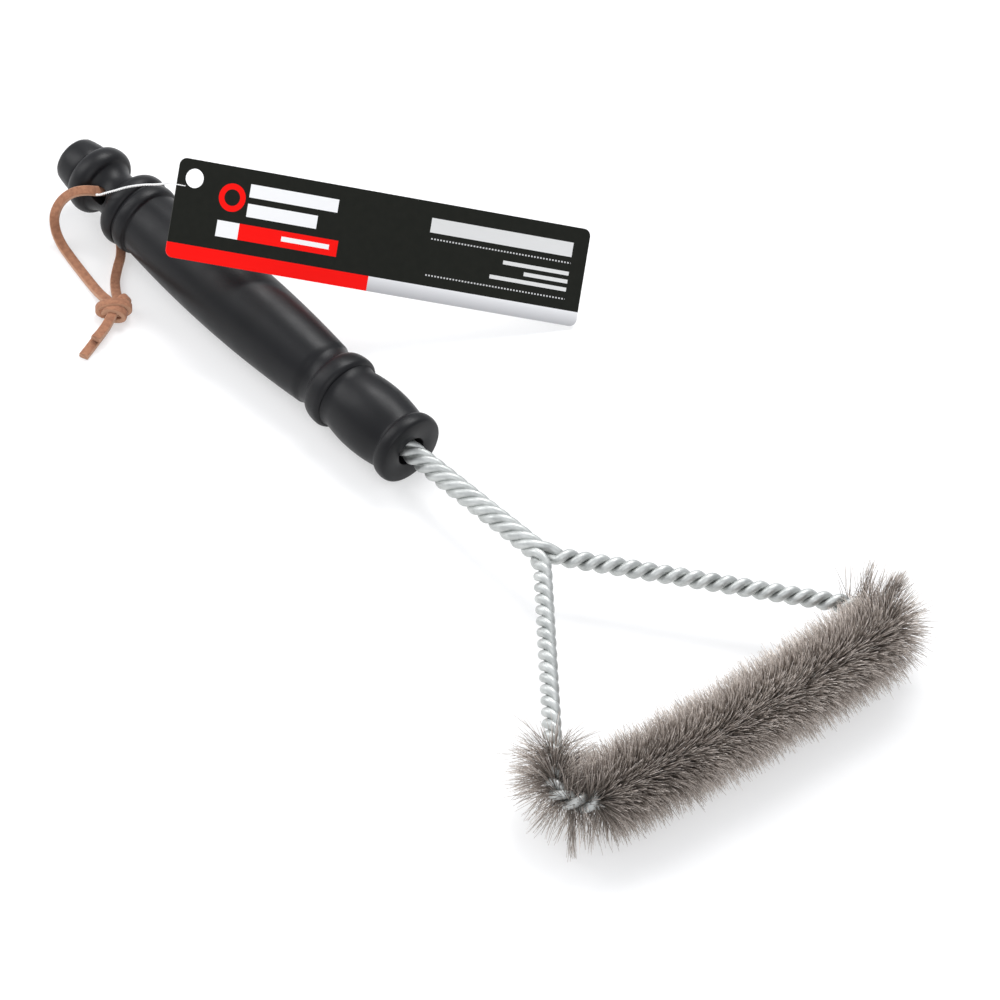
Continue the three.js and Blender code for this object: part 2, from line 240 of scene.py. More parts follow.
def spline(points, count):
    """Evenly spaced points on a smooth curve through the given ones."""
    p = np.asarray(points, float)
    p = np.vstack([2 * p[0] - p[1], p, 2 * p[-1] - p[-2]])
    knots = np.concatenate([[0], np.cumsum(np.linalg.norm(np.diff(p, axis=0), axis=1) ** 0.5)])
    fine = []
    for i in range(1, len(p) - 2):
        t0, t1, t2, t3 = knots[i - 1 : i + 3]
        for t in np.linspace(t1, t2, SPLINE_STEPS, endpoint=False):
            a1 = (t1 - t) / (t1 - t0) * p[i - 1] + (t - t0) / (t1 - t0) * p[i]
            a2 = (t2 - t) / (t2 - t1) * p[i] + (t - t1) / (t2 - t1) * p[i + 1]
            a3 = (t3 - t) / (t3 - t2) * p[i + 1] + (t - t2) / (t3 - t2) * p[i + 2]
            b1 = (t2 - t) / (t2 - t0) * a1 + (t - t0) / (t2 - t0) * a2
            b2 = (t3 - t) / (t3 - t1) * a2 + (t - t1) / (t3 - t1) * a3
            fine.append((t2 - t) / (t2 - t1) * b1 + (t - t1) / (t2 - t1) * b2)
    fine.append(p[-2])
    fine = np.array(fine)
    along = np.concatenate([[0], np.cumsum(np.linalg.norm(np.diff(fine, axis=0), axis=1))])
    stations = np.linspace(0, along[-1], count)
    return np.stack([np.interp(stations, along, fine[:, k]) for k in range(3)], axis=1)


def unit(vectors):
    return vectors / np.linalg.norm(vectors, axis=-1, keepdims=True)


def tangents(path):
    return unit(np.gradient(path, axis=0))


def carried_normals(path, first):
    """Normals carried along a path with no twist."""
    normals = np.zeros_like(path)
    normal = np.asarray(first, float)
    for i, ahead in enumerate(tangents(path)):
        normal = unit(normal - ahead * (normal @ ahead))
        normals[i] = normal
    return normals


def guided_normals(path, first, last):
    """Normals that keep as near as they can to a direction that goes from first to last."""
    shares = np.linspace(0, 1, len(path))[:, None]
    guide = np.asarray(first, float) * (1 - shares) + np.asarray(last, float) * shares
    ahead = tangents(path)
    return unit(guide - ahead * np.sum(guide * ahead, axis=1, keepdims=True))


def sweep(path, section, normals, closed=False):
    """Corners and faces of a bar with the section (across, out), capped or closed on itself."""
    ahead = tangents(path)
    if closed:
        ahead = unit(np.roll(path, -1, axis=0) - np.roll(path, 1, axis=0))
    sides = np.cross(ahead, normals)
    section = np.asarray(section, float)
    rings = (
        path[:, None]
        + section[None, :, :1] * sides[:, None]
        + section[None, :, 1:] * normals[:, None]
    )
    count = len(section)
    faces = []
    for i in range(len(path) if closed else len(path) - 1):
        ring = i * count
        ring_ahead = (i + 1) % len(path) * count
        for k in range(count):
            after = (k + 1) % count
            faces.append((ring + k, ring_ahead + k, ring_ahead + after, ring + after))
    if not closed:
        faces.append(tuple(range(count)))
        faces.append(tuple(reversed(range((len(path) - 1) * count, len(path) * count))))
    return rings.reshape(-1, 3), faces


def circle(radius, count):
    return [
        (radius * math.cos(2 * math.pi * k / count), radius * math.sin(2 * math.pi * k / count))
        for k in range(count)
    ]


def flat_section(width, thickness, rounding, count=4):
    """A flat bar's section with rounded edges, with (across, out) going anticlockwise."""
    outline = []
    for cx, cy, start in ((1, 1, 0), (-1, 1, 90), (-1, -1, 180), (1, -1, 270)):
        for k in range(count + 1):
            angle = math.radians(start + 90 * k / count)
            x = cx * (width / 2 - rounding) + rounding * math.cos(angle)
            y = cy * (thickness / 2 - rounding) + rounding * math.sin(angle)
            outline.append((x, y))
    return outline


# --- Materials --------------------------------------------------------------------------


class Look:
    """A material and short ways to add nodes to it."""

    def __init__(self, name, metallic=0.0):
        self.material = bpy.data.materials.new(name)
        self.material.use_nodes = True
        self.tree = self.material.node_tree
        self.shader = self.tree.nodes["Principled BSDF"]
        self.shader.inputs["Metallic"].default_value = metallic
        coordinates = self.tree.nodes.new("ShaderNodeTexCoord")
        self.place = coordinates.outputs["Object"]
        self.uv = coordinates.outputs["UV"]

    def node(self, kind, **settings):
        made = self.tree.nodes.new(kind)
        for key, value in settings.items():
            setattr(made, key, value)
        return made

    def link(self, source, target):
        self.tree.links.new(source, target)

    def stretched(self, scale):
        mapping = self.node("ShaderNodeMapping")
        mapping.inputs["Scale"].default_value = scale
        self.link(self.place, mapping.inputs["Vector"])
        return mapping.outputs["Vector"]

    def noise(self, scale, detail=3.0, vector=None):
        noise = self.node("ShaderNodeTexNoise")
        noise.inputs["Scale"].default_value = scale
        noise.inputs["Detail"].default_value = detail
        self.link(vector or self.place, noise.inputs["Vector"])
        return noise.outputs["Fac"]

    def ramp(self, source, stops):
        ramp = self.node("ShaderNodeValToRGB")
        elements = ramp.color_ramp.elements
        while len(elements) < len(stops):
            elements.new(0.5)
        for element, (position, colour) in zip(elements, stops):
            element.position = position
            element.color = (*colour, 1)
        self.link(source, ramp.inputs["Fac"])
        return ramp.outputs["Color"]

    def range(self, source, low, high):
        ranger = self.node("ShaderNodeMapRange")
        ranger.inputs["From Min"].default_value = 0.3
        ranger.inputs["From Max"].default_value = 0.7
        ranger.inputs["To Min"].default_value = low
        ranger.inputs["To Max"].default_value = high
        self.link(source, ranger.inputs["Value"])
        return ranger.outputs["Result"]

    def mix(self, share, first, second):
        mix = self.node("ShaderNodeMix", data_type="RGBA")
        sockets = (mix.inputs[0], mix.inputs[6], mix.inputs[7])
        for socket, value in zip(sockets, (share, first, second)):
            if isinstance(value, (tuple, float, int)):
                socket.default_value = (*value, 1) if isinstance(value, tuple) else value
            else:
                self.link(value, socket)
        return mix.outputs[2]

    def math(self, operation, first, second=0.0):
        node = self.node("ShaderNodeMath", operation=operation)
        for socket, value in zip(node.inputs, (first, second)):
            if isinstance(value, (float, int)):
                socket.default_value = value
            else:
                self.link(value, socket)
        return node.outputs[0]

    def colour(self, source):
        self.link(source, self.shader.inputs["Base Color"])

    def roughness(self, source):
        self.link(source, self.shader.inputs["Roughness"])

    def bumps(self, *heights):
        """Each height is (source, strength, depth in metres)."""
        previous = None
        for source, strength, depth in heights:
            bump = self.node("ShaderNodeBump")
            bump.inputs["Strength"].default_value = strength
            bump.inputs["Distance"].default_value = depth
            self.link(source, bump.inputs["Height"])
            if previous:
                self.link(previous, bump.inputs["Normal"])
            previous = bump.outputs["Normal"]
        self.link(previous, self.shader.inputs["Normal"])


def painted_wood():
    look = Look("black_painted_wood")
    grain = look.noise(1.0, 4.0, look.stretched((25, 420, 420)))
    cloud = look.noise(45, 3.0)
    speckle = look.noise(900, 2.0)
    look.colour(look.ramp(cloud, [(0.3, (0.0048, 0.005, 0.0058)), (0.7, (0.008, 0.0082, 0.0095))]))
    look.roughness(look.range(look.noise(120, 4.0), 0.36, 0.47))
    look.shader.inputs["Specular IOR Level"].default_value = 0.22
    look.bumps((grain, 0.1, 0.0002), (speckle, 0.06, 0.0001))
    return look.material


def galvanised():
    look = Look("galvanised_wire", metallic=1.0)
    patches = look.noise(260, 4.0)
    look.colour(look.ramp(patches, [(0.3, (0.46, 0.475, 0.465)), (0.7, (0.62, 0.635, 0.622))]))
    look.roughness(look.range(look.noise(700, 3.0), 0.48, 0.62))
    look.bumps((look.noise(1600, 2.0), 0.12, 0.0001))
    return look.material


def filament_steel():
    look = Look("filament_steel", metallic=0.6)
    # The tone attribute holds each filament's random tone with painted shade at its root and
    # painted light at its tip.
    tone = look.node("ShaderNodeAttribute", attribute_name="tone").outputs["Fac"]
    colour = look.ramp(
        tone,
        [(0.0, (0.17, 0.144, 0.125)), (0.5, (0.41, 0.356, 0.314)), (1.0, (0.82, 0.745, 0.685))],
    )
    look.colour(colour)
    look.roughness(look.range(look.noise(900, 2.0), 0.34, 0.5))
    return look.material


def suede():
    look = Look("suede_lace")
    edge = look.node("ShaderNodeAttribute", attribute_name="edge").outputs["Fac"]
    nap = look.noise(700, 5.0)
    fibre = look.noise(3200, 3.0)
    face = look.ramp(nap, [(0.3, (0.235, 0.098, 0.05)), (0.7, (0.38, 0.175, 0.096))])
    look.colour(look.mix(edge, face, (0.46, 0.255, 0.16)))
    look.roughness(look.range(nap, 0.82, 0.97))
    look.shader.inputs["Sheen Weight"].default_value = 0.1
    look.shader.inputs["Sheen Roughness"].default_value = 0.5
    look.bumps((nap, 0.3, 0.0003), (fibre, 0.4, 0.00015))
    return look.material


def cotton():
    look = Look("cotton_string")
    fibre = look.noise(2500, 4.0)
    look.colour(look.ramp(fibre, [(0.3, (0.72, 0.72, 0.71)), (0.7, (0.9, 0.9, 0.89))]))
    look.roughness(look.range(fibre, 0.75, 0.92))
    look.bumps((fibre, 0.4, 0.0001))
    return look.material


def adhesive():
    look = Look("set_adhesive")
    cloud = look.noise(300, 3.0)
    look.colour(look.ramp(cloud, [(0.3, (0.12, 0.09, 0.045)), (0.7, (0.23, 0.18, 0.1))]))
    look.roughness(look.range(cloud, 0.25, 0.5))
    look.bumps((look.noise(500, 3.0), 0.5, 0.0004))
    return look.material


def floor_look():
    """A backdrop that glows a little of its own, which keeps its shadows pale."""
    look = Look("pale_floor")
    cloud = look.noise(3, 2.0)
    look.colour(look.ramp(cloud, [(0.3, (0.5, 0.5, 0.5)), (0.7, (0.51, 0.51, 0.51))]))
    look.roughness(look.range(cloud, 0.85, 0.9))
    look.shader.inputs["Emission Color"].default_value = (1, 1, 1, 1)
    look.shader.inputs["Emission Strength"].default_value = 0.48
    return look.material


def inside(look, x, y, low, high):
    """1 inside the box from low to high of the card's millimetres, 0 outside."""
    a = look.math("GREATER_THAN", x, low[0])
    b = look.math("LESS_THAN", x, high[0])
    c = look.math("GREATER_THAN", y, low[1])
    d = look.math("LESS_THAN", y, high[1])
    return look.math("MULTIPLY", look.math("MULTIPLY", a, b), look.math("MULTIPLY", c, d))


def dots(look, x, y, low, high, pitch):
    wave = look.math("FRACT", look.math("DIVIDE", x, pitch))
    return look.math("MULTIPLY", inside(look, x, y, low, high), look.math("LESS_THAN", wave, 0.5))


STRIPE_TOP = 5.0
STRIPE_RED_END = 71.5


def printed_card():
    """Card printed with plain bars, a ring and dotted rules. x runs from the hole's end, y up."""
    look = Look("printed_card")
    parts = look.node("ShaderNodeSeparateXYZ")
    look.link(look.uv, parts.inputs[0])
    x = look.math("MULTIPLY", parts.outputs[0], TAG_LENGTH)
    y = look.math("MULTIPLY", parts.outputs[1], TAG_HEIGHT)
    cloud = look.noise(400, 4.0)
    black = look.ramp(cloud, [(0.3, (0.0095, 0.0105, 0.0078)), (0.7, (0.0118, 0.0125, 0.0095))])
    red = (0.95, 0.004, 0.002)
    white = (0.9, 0.9, 0.9)
    colour = black
    # The foot's stripe: red, then a grey that is paler towards its top.
    fade = look.node("ShaderNodeMapRange")
    for socket, value in zip(fade.inputs[1:5], (0.0, STRIPE_TOP, 0.0, 1.0)):
        socket.default_value = value
    look.link(y, fade.inputs[0])
    grey = look.mix(fade.outputs[0], (0.42, 0.42, 0.43), (0.8, 0.8, 0.81))
    red_part = inside(look, x, y, (-1, -1), (STRIPE_RED_END, STRIPE_TOP))
    grey_part = inside(look, x, y, (STRIPE_RED_END, -1), (200, STRIPE_TOP))
    colour = look.mix(red_part, colour, red)
    colour = look.mix(grey_part, colour, grey)
    # The left block: a ring over two bars, a white box and a red bar.
    dx = look.math("SUBTRACT", x, 19.8)
    dy = look.math("SUBTRACT", y, 22.8)
    square = look.math("ADD", look.math("MULTIPLY", dx, dx), look.math("MULTIPLY", dy, dy))
    disc = look.math("LESS_THAN", square, 22.0)
    ring = look.math("SUBTRACT", disc, look.math("LESS_THAN", square, 7.5))
    colour = look.mix(ring, colour, red)
    for low, high in (((25.6, 23.9), (57, 28.3)), ((25.6, 17.4), (50.5, 21.8))):
        colour = look.mix(inside(look, x, y, low, high), colour, white)
    colour = look.mix(inside(look, x, y, (16, 9.4), (23.8, 14.8)), colour, white)
    colour = look.mix(inside(look, x, y, (23.8, 9.4), (59, 14.8)), colour, red)
    colour = look.mix(inside(look, x, y, (39, 11.4), (56, 13.0)), colour, white)
    # The right block: bars that end together, between two dotted rules.
    for low, high in (
        ((90.5, 22.9), (142, 27.8)),
        ((118, 16.6), (142, 17.9)),
        ((126, 13.9), (142, 15.2)),
        ((114, 11.2), (142, 12.5)),
    ):
        colour = look.mix(inside(look, x, y, low, high), colour, (0.7, 0.7, 0.69))
    for low, high in (((91, 20.6), (142, 21.1)), ((91, 8.4), (142, 8.9))):
        colour = look.mix(dots(look, x, y, low, high, 1.1), colour, (0.6, 0.6, 0.6))
    look.colour(colour)
    look.roughness(look.range(look.noise(250, 3.0), 0.4, 0.5))
    look.shader.inputs["Specular IOR Level"].default_value = 0.12
    look.bumps((look.noise(1800, 3.0), 0.05, 0.0001))
    return look.material


LOOKS = {
    "painted_wood": painted_wood(),
    "galvanised_wire": galvanised(),
    "steel_bristle": filament_steel(),
    "suede_lace": suede(),
    "cotton_string": cotton(),
    "adhesive": adhesive(),
    "printed_card": printed_card(),
}


def finish(piece, slot, body, *nodes):
    """Gives a piece its material and slot, and lets it stand for CAD nodes on its body."""
    piece.data.materials.clear()
    piece.data.materials.append(LOOKS[slot])
    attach(piece, body)
    if nodes:
        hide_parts(*nodes)
    return piece


# --- Lace and string --------------------------------------------------------------------

LACE_SECTION = np.array(flat_section(3.3, 1.9, 0.5)) * MM


def suede_mesh(name, corners, faces, rings):
    """A lace's mesh, on the table or above it, with its narrow faces marked for the material."""
    corners[:, 2] = np.maximum(corners[:, 2], 0.02 * MM)
    piece = add_mesh(name, corners, faces)
    edge = np.clip((np.abs(LACE_SECTION[:, 0]) / MM - 1.35) / 0.3, 0, 1)
    attribute = piece.data.attributes.new("edge", "FLOAT", "POINT")
    attribute.data.foreach_set("value", np.tile(edge, rings))
    piece.data.set_sharp_from_angle(angle=math.radians(50))
    return piece


def lace(name, route, count, node, first=(0, 0, 1), last=(0, 0, 1)):
    path = spline(place(route), count)
    corners, faces = sweep(path, LACE_SECTION, guided_normals(path, first, last))
    return finish(suede_mesh(name, corners, faces, count), "suede_lace", "brush", node), path


KNOT_THROUGH = np.array([0.744, -0.668, 0.0])  # along the tails, away from the legs
KNOT_ACROSS = np.array([0.668, 0.744, 0.0])
# Half width, half height, shift along and across the tails, yaw and tilt of each wrap.
KNOT_WRAPS = {
    "knot_wrap_main": (5.2, 2.6, 0.2, 0.3, 0.05, 0.1),
    "knot_wrap_low": (3.4, 2.0, 2.6, 0.7, -0.2, 0.0),
    "knot_fold": (1.6, 1.8, -3.0, 3.2, 0.6, 0.35),
}


def knot():
    """Two wraps of lace round the legs and tails, and the fold that stands out beside them."""
    centre = place([KNOT_CENTRE])[0]
    up = np.array([0.0, 0.0, 1.0])
    pieces = []
    for name, (wide, high, shift, aside, yaw, tilt) in KNOT_WRAPS.items():
        angles = np.linspace(0, 2 * math.pi, 72, endpoint=False)[:, None]
        side = KNOT_ACROSS * math.cos(yaw) - KNOT_THROUGH * math.sin(yaw) + up * tilt
        middle = centre + (KNOT_THROUGH * shift + KNOT_ACROSS * aside) * MM
        path = middle + (side * wide * np.cos(angles) + up * high * np.sin(angles)) * MM
        ahead = unit(np.roll(path, -1, axis=0) - np.roll(path, 1, axis=0))
        outward = path - middle
        outward = unit(outward - ahead * np.sum(outward * ahead, axis=1, keepdims=True))
        corners, faces = sweep(path, LACE_SECTION, outward, closed=True)
        piece = suede_mesh(name, corners, faces, len(path))
        pieces.append(finish(piece, "suede_lace", "brush", "lanyard_knot"))
    # A strand that crosses the front of the main wrap, over the tails.
    strand = [
        np.array(KNOT_CENTRE) + KNOT_THROUGH * 2.2 + KNOT_ACROSS * aside + up * rise
        for aside, rise in ((-3.9, -0.9), (-2.0, 0.3), (0.2, 0.7), (2.4, 0.4), (4.2, -0.8))
    ]
    front = (0.5, -0.45, 0.75)
    piece, _ = lace("knot_strand", strand, 40, "lanyard_knot", front, front)
    return [*pieces, piece]


def lanyard():
    facing = (0.35, -0.5, 0.8)
    near, near_path = lace(
        "lace_near_leg", NEAR_LEG + NEAR_LEG_IN_KNOT, 180, "lanyard_near_leg", facing
    )
    far, far_path = lace("lace_far_leg", FAR_LEG + FAR_LEG_IN_KNOT, 180, "lanyard_far_leg", facing)
    long_tail, _ = lace("lace_long_tail", LONG_TAIL_IN_KNOT + LONG_TAIL, 70, "lanyard_long_tail")
    short_tail, _ = lace(
        "lace_short_tail", SHORT_TAIL_IN_KNOT + SHORT_TAIL, 60, "lanyard_short_tail"
    )
    others = [*knot(), long_tail, short_tail]


def twisted(path, ply_radius, lay):
    """Corners and faces of two plies twisted together along a path."""
    normals = carried_normals(path, (0, 0, 1))
    sides = np.cross(tangents(path), normals)
    along = np.concatenate([[0], np.cumsum(np.linalg.norm(np.diff(path, axis=0), axis=1))])
    corners = []
    faces = []
    for start in (0, math.pi):
        phase = (start + 2 * math.pi * along / lay)[:, None]
        ply = path + 0.9 * ply_radius * (sides * np.cos(phase) + normals * np.sin(phase))
        section = np.array(circle(ply_radius, 8))
        ply_corners, ply_faces = sweep(ply, section, carried_normals(ply, (0, 0, 1)))
        faces.extend(tuple(len(corners) + i for i in face) for face in ply_faces)
        corners.extend(ply_corners)
    return corners, faces


STRING_PLY, STRING_LAY = 0.21, 2.2
LOOP_PLY, LOOP_LAY = 0.11, 1.4


def string():
    """The twisted string, and the thinner loop of it round the card's margin."""
    path = spline(place(TAG_STRING), 260)
    corners, faces = twisted(path, STRING_PLY * MM, STRING_LAY * MM)
    main = finish(add_mesh("white_string", corners, faces), "cotton_string", "tag", "tag_string")
    loop_path = spline(string_loop(), 120)
    corners, faces = twisted(loop_path, LOOP_PLY * MM, LOOP_LAY * MM)
    loop = finish(add_mesh("string_loop", corners, faces), "cotton_string", "tag", "tag_string")


def string_loop():
    """Out from the string's end, behind the card, through it beside its hole and back in front."""
    end, along, up, normal = card_frame()
    knot_at = place([TAG_STRING[-1]])[0]
    level = (knot_at - end) @ up / MM
    clear = TAG_THICKNESS / 2 + 0.28
    rim = TAG_HOLE[0] - TAG_HOLE[2] + 0.35
    behind = [(0.6, -clear), (rim - 0.4, -clear)]
    before = [(rim - 0.4, clear), (0.5, clear), (-0.3, 0.1)]
    stops = [*behind, (rim, 0), *before]
    route = [end + (along * x + up * level + normal * z) * MM for x, z in stops]
    return [knot_at, *route, knot_at - along * 0.2 * MM]


# --- Handle -----------------------------------------------------------------------------


def ridge(start, top, end, rounded, count=24):
    """One rise and fall of the profile between two feet, as (u, radius) points."""
    outline = []
    for i in range(count + 1):
        share = 2 * i / count - 1
        across = math.sin(share * math.pi / 2) if rounded else share
        rise = math.cos(share * math.pi / 2) if rounded else 1 - share * share
        foot = start if share < 0 else end
        u = top[0] + abs(across) * (foot[0] - top[0])
        outline.append((u, foot[1] + rise * (top[1] - foot[1])))
    return outline


HANDLE_OUTLINE = [
    (0, 0),
    (0, 3.5),
    (0, 6.7),
    (0.12, 7.1),
    (0.5, 7.6),
    (1.4, 8.2),
    (3.2, 8.65),
    (5.2, 8.98),
    (7.4, 9.25),
    (8.8, 9.35),
    (9.25, 9.25),
    *ridge((9.5, 9.5), (14.1, 12.1), (17.6, 9.8), True),
    (18.0, 9.35),
    (19.0, 8.75),
    (20.4, 8.2),
    (NECK_U, 7.95),
    (23.8, 8.1),
    (25.4, 8.5),
    (26.8, 9.1),
    (27.4, 9.45),
    *ridge((27.6, 9.7), (32.1, 13.25), (34.4, 12.1), True),
    *ridge((34.8, 12.0), (37.6, 12.85), (40.0, 11.9), True, 16),
    *ridge((40.4, 11.5), (86, 13.8), (128.4, 11.8), False, 48),
    (129.2, 11.3),
    (130.2, 11.1),
    (131.8, 11.15),
    (133.3, 11.35),
    *ridge((133.7, 11.55), (139.2, 13.43), (141.3, 11.95), True),
    (142.0, 11.7),
    (143.2, 11.6),
    *ridge((144.4, 11.7), (154.5, 12.7), (165.6, 11.6), False, 24),
    (167.0, 11.4),
    (167.7, 11.35),
    *ridge((168.0, 11.5), (COLLAR_U, 12.77), (HANDLE_LENGTH - 0.2, 11.8), True, 20),
    (HANDLE_LENGTH, 11.4),
    (HANDLE_LENGTH, 8.5),
    (HANDLE_LENGTH, BORE_RADIUS + 0.35),
    (HANDLE_LENGTH - 0.15, BORE_RADIUS + 0.08),
    (HANDLE_LENGTH - 0.5, BORE_RADIUS),
    (HANDLE_LENGTH - 10, BORE_RADIUS),
    (HANDLE_LENGTH - 30, BORE_RADIUS),
    (HANDLE_LENGTH - BORE_DEPTH, BORE_RADIUS),
    (HANDLE_LENGTH - BORE_DEPTH, 0),
]


def on_handle(points):
    """Points given from the handle's rear end, with its axis along +X, in the frame."""
    p = np.asarray(points, float) - (COLLAR_U, 0, 0)
    x = p[:, 0] * math.cos(PITCH) + p[:, 2] * math.sin(PITCH)
    z = p[:, 2] * math.cos(PITCH) - p[:, 0] * math.sin(PITCH) + COLLAR_UP
    return place(np.stack([x, p[:, 1], z], axis=1))


HANDLE_SEGMENTS = 144


def handle():
    segments = HANDLE_SEGMENTS
    outline = HANDLE_OUTLINE[1:-1]
    corners = [(0, 0, 0)]
    for u, radius in outline:
        for k in range(segments):
            angle = 2 * math.pi * k / segments
            corners.append((u, radius * math.cos(angle), radius * math.sin(angle)))
    corners.append((HANDLE_LENGTH - BORE_DEPTH, 0, 0))
    faces = []
    last = len(outline) - 1
    for k in range(segments):
        after = (k + 1) % segments
        faces.append((0, 1 + after, 1 + k))
        faces.append((len(corners) - 1, 1 + last * segments + k, 1 + last * segments + after))
        for i in range(last):
            here = 1 + i * segments
            faces.append((here + k, here + after, here + segments + after, here + segments + k))
    piece = add_mesh("turned_handle", on_handle(corners), faces)
    cutter = cross_hole()
    cut = piece.modifiers.new("hole", "BOOLEAN")
    cut.operation = "DIFFERENCE"
    cut.solver = "EXACT"
    cut.object = cutter
    apply_modifiers(piece)
    bpy.data.objects.remove(cutter)
    piece.data.polygons.foreach_set("use_smooth", [True] * len(piece.data.polygons))
    piece.data.set_sharp_from_angle(angle=math.radians(38))
    finish(piece, "painted_wood", "brush", "handle")


def cross_hole():
    across = np.array([0, math.cos(HOLE_TILT), -math.sin(HOLE_TILT)])
    # The hole opens a little towards each mouth, as its edge is broken by hand.
    half = [(7.2, HOLE_RADIUS), (7.9, 3.3), (16, 4.6)]
    stations = [(-distance, radius) for distance, radius in reversed(half)] + half
    corners = []
    count = 48
    first = np.array([1.0, 0, 0])
    second = np.cross(across, first)
    for distance, radius in stations:
        for x, y in circle(radius, count):
            corners.append((NECK_U, 0, 0) + across * distance + first * x + second * y)
    faces = []
    for i in range(len(stations) - 1):
        for k in range(count):
            here = i * count + k
            after = i * count + (k + 1) % count
            faces.append((here, after, after + count, here + count))
    faces.append(tuple(reversed(range(count))))
    faces.append(tuple(range((len(stations) - 1) * count, len(stations) * count)))
    return add_mesh("hole_cutter", on_handle(corners), faces)


def apply_modifiers(piece):
    evaluated = piece.evaluated_get(bpy.context.evaluated_depsgraph_get())
    mesh = bpy.data.meshes.new_from_object(evaluated)
    piece.modifiers.clear()
    piece.data = mesh


# --- Wires ------------------------------------------------------------------------------


def on_axis(u):
    beyond = u - COLLAR_U
    return np.array([beyond * math.cos(PITCH), 0, COLLAR_UP - beyond * math.sin(PITCH)])


TAIL = on_axis(HANDLE_LENGTH - TAIL_DEPTH)
MOUTH = on_axis(HANDLE_LENGTH + 1)
FORK = np.array([FORK_X, 0, FORK_UP])
BASE_X = FORK_X + TRIANGLE_HEIGHT
LEFT = np.array([BASE_X, -TRIANGLE_BASE / 2, BASE_UP])
RIGHT = np.array([BASE_X, TRIANGLE_BASE / 2, BASE_UP])
BASE_MIDDLE = np.array([BASE_X + BASE_BOW, 0, BASE_UP])


def bend(before, corner, after, radius, steps):
    """The arc that rounds the corner between two straight runs."""
    back = Vector(unit(before - corner))
    ahead = Vector(unit(after - corner))
    half = back.angle(ahead) / 2
    corner = Vector(corner)
    centre = corner + (back + ahead).normalized() * (radius / math.sin(half))
    start = corner + back * (radius / math.tan(half)) - centre
    axis = ahead.cross(back).normalized()
    arc = []
    for i in range(steps + 1):
        turned = start.copy()
        turned.rotate(Matrix.Rotation((math.pi - 2 * half) * i / steps, 3, axis))
        arc.append(np.array(centre + turned))
    return arc


PAIR_AXIS = np.array(
    [
        TAIL,
        *bend(TAIL, MOUTH, FORK, BEND_MOUTH, 6),
        *bend(MOUTH, FORK, LEFT, BEND_FORK, 12),
        *bend(FORK, LEFT, BASE_MIDDLE, BEND_CORNER, 40),
        *bend(LEFT, BASE_MIDDLE, RIGHT, 800, 8),
        *bend(BASE_MIDDLE, RIGHT, FORK, BEND_CORNER, 40),
        *bend(RIGHT, FORK, MOUTH, BEND_FORK, 12),
        *bend(FORK, MOUTH, TAIL, BEND_MOUTH, 6),
        TAIL,
    ]
)
REACHED = np.concatenate([[0], np.cumsum(np.linalg.norm(np.diff(PAIR_AXIS, axis=0), axis=1))])
AXIS_LENGTH = REACHED[-1]
MIDDLE = AXIS_LENGTH / 2
FORK_AT = np.linalg.norm(MOUTH - TAIL) + np.linalg.norm(FORK - MOUTH)
ARM_START = FORK_AT + LAY_STEM / 4
STEM_RATE = 2 * math.pi / LAY_STEM
QUARTERS = round(4 * (MIDDLE - ARM_START) / LAY_ARM)
ARM_RATE = math.pi / 2 * QUARTERS / (MIDDLE - ARM_START)
EASE = 3  # the pair's angle round the stem's axis comes to rest over this length


def axis_at(distances):
    return np.stack([np.interp(distances, REACHED, PAIR_AXIS[:, k]) for k in range(3)], axis=1)


def axis_frames(distances):
    """Points of the pair's axis with the directions ahead, up and to the side."""
    ahead = unit(axis_at(distances + 0.6) - axis_at(distances - 0.6))
    up = unit(np.array([0, 0, 1.0]) - ahead * ahead[:, 2:])
    return axis_at(distances), ahead, up, np.cross(up, ahead)


def twist_angle(distances):
    """Where the first wire of the pair stands, from the side direction towards up."""
    near = np.minimum(distances, AXIS_LENGTH - distances)
    turned = STEM_RATE * (np.minimum(near, ARM_START) - FORK_AT)
    turned = turned + ARM_RATE * np.maximum(0, near - ARM_START)
    returning = distances > MIDDLE
    sense = np.where(returning, 1, -1)
    return math.pi / 2 + sense * turned + np.where(returning, math.pi * (QUARTERS + 1), 0)


def pair_centre(distances):
    points, _, up, side = axis_frames(distances)
    near = np.minimum(distances, AXIS_LENGTH - distances)
    swing = np.where(
        near < FORK_AT - EASE,
        STEM_RATE * (near - FORK_AT),
        -STEM_RATE * np.maximum(0, FORK_AT + EASE - near) ** 2 / (4 * EASE),
    )
    sense = np.where(distances > MIDDLE, 1, -1)
    share = np.clip((near - FORK_AT) / (2 * EASE), 0, 1)
    reach = HALF_SPACING * (1 - share * share * (3 - 2 * share))
    angle = math.pi + sense * swing
    return points + (side * np.cos(angle)[:, None] + up * np.sin(angle)[:, None]) * reach[:, None]


WIRE_STEP = 0.4
WIRE_SIDES = 14


def wires():
    distances = np.arange(0, AXIS_LENGTH, WIRE_STEP)
    _, _, up, side = axis_frames(distances)
    angle = twist_angle(distances)
    offset = side * np.cos(angle)[:, None] + up * np.sin(angle)[:, None]
    centre = pair_centre(distances)
    for sign, name in ((1, "a"), (-1, "b")):
        line = place(centre + sign * HALF_SPACING * offset)
        section = np.array(circle(WIRE_RADIUS * MM, WIRE_SIDES))
        corners, faces = sweep(line, section, carried_normals(line, (0, 0, 1)))
        piece = add_mesh(f"twisted_wire_{name}", corners, faces)
        finish(piece, "galvanised_wire", "brush", f"core_wire_{name}")


# --- Bristles ---------------------------------------------------------------------------


FILAMENT_RADIUS = 0.1
FILAMENT_STATIONS = np.array([0.0, 0.4, 0.75, 1.0])
FILAMENT_TAPER = np.array([1, 1, 0.85, 0.55])
# Tone added along each filament: painted shade towards the roots, where they crowd between the
# wires, and painted light towards the tips.
PAINTED_ROOT_SHADE_TIP_LIGHT = np.array([-0.3, -0.08, 0.08, 0.28])


